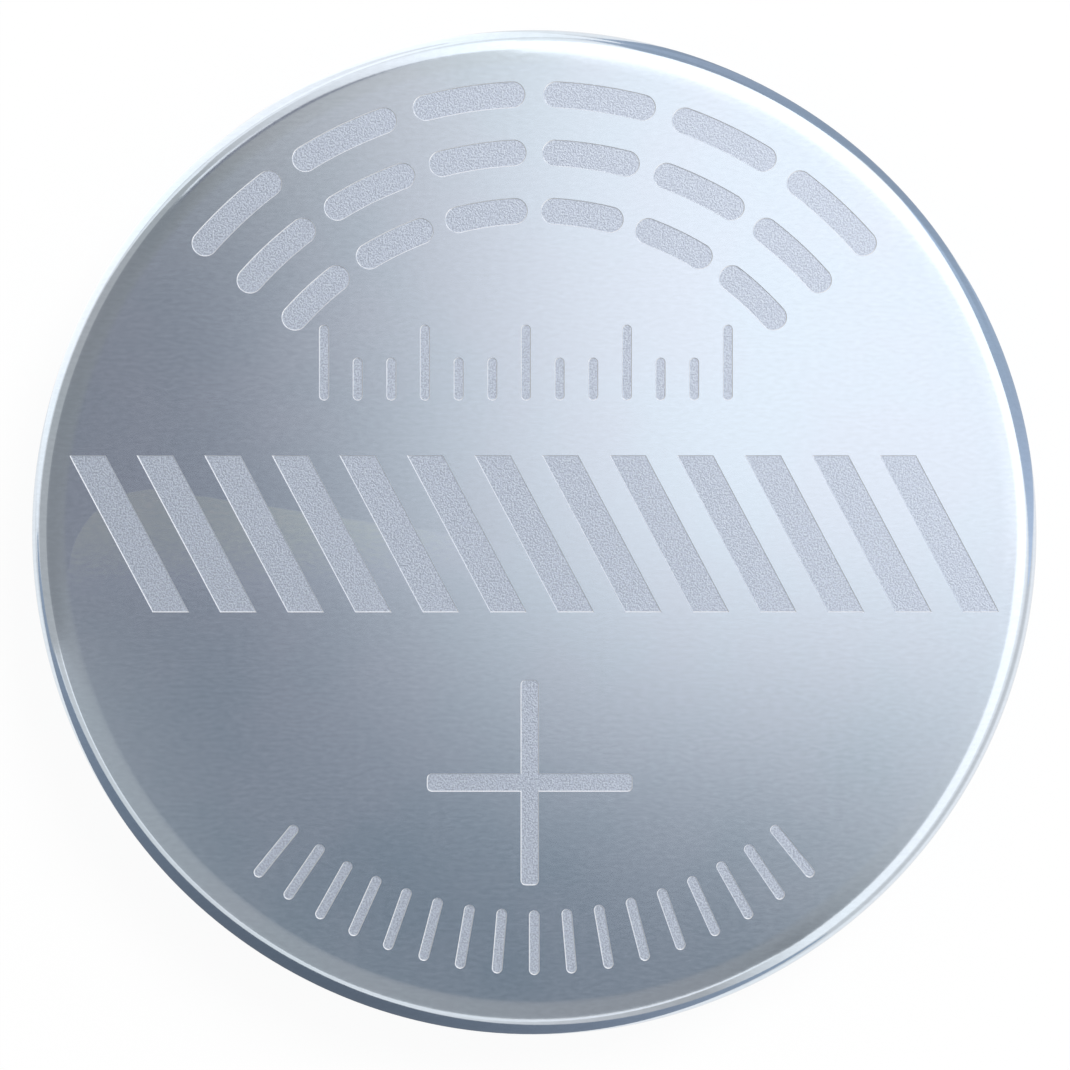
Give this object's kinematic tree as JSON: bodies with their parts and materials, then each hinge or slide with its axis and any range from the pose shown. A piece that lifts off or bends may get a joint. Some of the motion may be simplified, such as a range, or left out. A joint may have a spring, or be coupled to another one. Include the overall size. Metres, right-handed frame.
{
  "type": "lithium coin cell",
  "caption": "Round lithium coin cell: a drawn steel can rolled in over a moulded gasket and a stepped cap, with its electrodes and separator inside.",
  "frame": {"origin": "middle of the negative contact face, which the cell lies on", "axes": "+Z along the axis of the cell, from the negative contact face to the positive face; +X and +Y lie in the contact face, with the plus sign of the positive face towards -Y"},
  "size_m": [0.02, 0.02, 0.0025],
  "materials": {
    "can_steel": "satin nickel-plated stainless steel, very fine grain, frosted marks",
    "cap_steel": "satin stainless steel",
    "gasket_polymer": "natural moulded polypropylene with a dull sealant film",
    "collector_steel": "expanded stainless steel",
    "cathode_mix": "pressed manganese dioxide and graphite powder, matt",
    "separator_fleece": "non-woven polypropylene fleece",
    "lithium_foil": "soft rolled lithium foil, dull silver"
  },
  "bodies": {
    "root": {"positive_can": "can_steel", "negative_cap": "cap_steel", "gasket": "gasket_polymer", "cathode_collector": "collector_steel", "cathode_pellet": "cathode_mix", "separator": "separator_fleece", "lithium_anode": "lithium_foil"}
  },
  "joints": []
}
